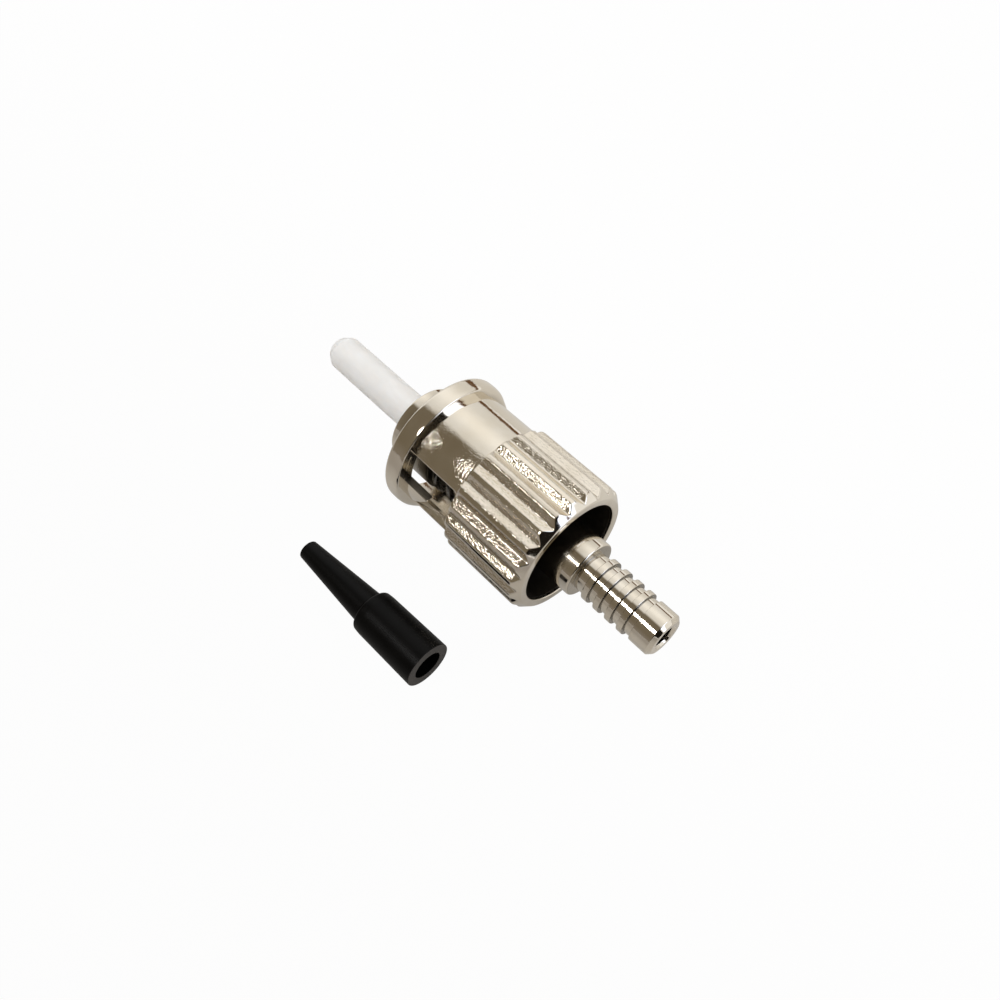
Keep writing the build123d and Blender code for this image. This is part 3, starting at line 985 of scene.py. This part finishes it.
def card_finish(name):
    """Paint that shows the point attribute tone as it is, without shading."""
    material = bpy.data.materials.new(name)
    material.use_nodes = True
    tree = material.node_tree
    tree.nodes.clear()
    paint = tree.nodes.new("ShaderNodeEmission")
    tone = tree.nodes.new("ShaderNodeAttribute")
    tone.attribute_name = "tone"
    output = tree.nodes.new("ShaderNodeOutputMaterial")
    tree.links.new(tone.outputs["Color"], paint.inputs["Color"])
    tree.links.new(paint.outputs["Emission"], output.inputs["Surface"])
    return material


def card(name, a, b, tone, distance=0.6):
    """Sphere patch: (cos b, sin b cos a, sin b sin a) times the distance, for each a and b."""
    a, b = np.radians(a), np.radians(b)
    points = distance * np.stack([np.cos(b), np.sin(b) * np.cos(a), np.sin(b) * np.sin(a)], axis=-1)
    faces = grid_faces(*a.shape)[:-1, :-1].reshape(-1, 4).tolist()
    mesh = bpy.data.meshes.new(name)
    mesh.from_pydata(points.reshape(-1, 3).tolist(), [], faces)
    colours = np.concatenate([np.broadcast_to(tone, points.shape), np.ones((*a.shape, 1))], axis=-1)
    mesh.attributes.new("tone", "FLOAT_COLOR", "POINT").data.foreach_set("color", colours.ravel())
    mesh.materials.append(card_finish(name))
    stage_piece = bpy.data.objects.new(name, mesh)
    bpy.context.collection.objects.link(stage_piece)
    stage_piece.visible_camera = False
    stage_piece.visible_diffuse = False
    stage_piece.visible_shadow = False
    return stage_piece


# %% [markdown]
# A white card carries the soft lamp's light and is brightest in the middle. The largest dark card
# hangs over the near side: its far edge fades into the white, as a card does that is out of focus,
# and its near edge turns paler towards the table. The card at the camera is black, a small bright
# one stands beside it, and a narrow one shows the gap behind the table.

# %% Cards round the object
white = np.array([1.0, 0.985, 0.96])
dark = np.array([0.185, 0.155, 0.112])
pale = np.array([0.225, 0.194, 0.158])
black = np.array([0.012, 0.010, 0.008])
cool_white = np.array([2.0, 2.25, 2.9])
brown = np.array([0.15, 0.08, 0.04])

even_tone, extra_tone, middle, middle_w = 0.82, 0.30, 57, 19
a, b = card_angles((12, 88), (66, 172))
lit = even_tone + extra_tone * np.exp(-((a - middle) / middle_w) ** 2)
card("soft_card", a, b, lit[..., None] * white)

far_edge, far_fade, edge_tone, near_edge, near_fade = 88, 9, 0.85, 160, 15
a, b = card_angles((far_edge, 180), (66, 172), 93)
fade = np.clip((a - far_edge) / far_fade, 0, 1)[..., None]
near = np.clip((a - near_edge) / near_fade, 0, 1)[..., None]
overhead = (1 - fade) * edge_tone * white + fade * ((1 - near) * dark + near * pale)
card("overhead_card", a, b, overhead)
card("camera_card", *card_angles((79, 176), (0.5, 66)), black)
# Painted highlight: this card glows brighter than white and shows only in reflections.
card("bright_card", *card_angles((40, 79), (15, 66)), cool_white)

gap_w, gap_more, widens_at, widens_over = 3.6, 2.2, 118.5, 1.5
gap_a, gap_b, gap_slope, gap_distance = 17, 101.5, 0.576, 0.57
a, b = card_angles((-1, 1), (20, 165), 146)
half_width = gap_w + gap_more * np.clip((b - widens_at) / widens_over, 0, 1)
card("gap_card", a * half_width + gap_a - (b - gap_b) * gap_slope, b, brown, gap_distance)
print("cards placed")


# %% [markdown]
# ## Lamps
# A wide soft lamp stands on the far side and above, a weaker one fills in from the near side, and
# a compact lamp over the near side gives the narrow highlights. The metal mirrors the cards in
# place of the two wide lamps, so those two are left out of reflections. The level is plain: a
# white sheet facing up comes out just about white.

# %% Lamps
def lamp(name, direction, distance, size, watts, colour):
    """An area lamp that looks at the object from this direction."""
    data = bpy.data.lights.new(name, "AREA")
    data.shape = "DISK"
    data.size = size
    data.energy = watts
    data.color = colour
    light = bpy.data.objects.new(name, data)
    bpy.context.collection.objects.link(light)
    away = Vector(direction).normalized()
    facing = away.to_track_quat("Z", "Y").to_matrix().to_4x4()
    light.matrix_world = Matrix.Translation(away * distance) @ facing
    return light


soft_lamp = lamp("soft_lamp", (-0.1, 0.55, 0.83), 0.55, 0.32, 1.10, (1.0, 0.97, 0.92))
fill_lamp = lamp("fill_lamp", (-0.35, -0.75, 0.5), 0.55, 0.32, 0.6, (1.0, 0.985, 0.965))
soft_lamp.visible_glossy = False
fill_lamp.visible_glossy = False
lamp("compact_lamp", (-0.18, -0.59, 0.785), 0.50, 0.10, 0.60, (1.0, 0.99, 0.975))
print("lamps placed")


# %% [markdown]
# ## Camera
# The photograph looks down on the connector from behind the cable end. The camera's place was
# found by fitting the outlines of the nut, the stem and the ferrule.

# %% Camera
camera_data = bpy.data.cameras.new("camera")
camera_data.sensor_width = 36.0
camera_data.lens = 34.42
camera_data.clip_start = 0.001
camera_data.clip_end = 10.0
camera = bpy.data.objects.new("camera", camera_data)
bpy.context.collection.objects.link(camera)
azimuth, elevation = np.radians(47.209), np.radians(56.071)
sin_a, cos_a, sin_e, cos_e = np.sin(azimuth), np.cos(azimuth), np.sin(elevation), np.cos(elevation)
right = (cos_a, sin_a, 0)
up = (-sin_a * sin_e, cos_a * sin_e, cos_e)
back = (sin_a * cos_e, -cos_a * cos_e, sin_e)
from_nut_rear = np.array([18.835, -23.261, 49.868])
place = (from_nut_rear + (nut_rear, 0, 0)) * MM
camera.matrix_world = Matrix(np.column_stack([right, up, back, place]).tolist() + [[0, 0, 0, 1]])
bpy.context.scene.camera = camera
bpy.context.scene.view_settings.view_transform = "Standard"
print("camera at", np.round(place / MM, 2))
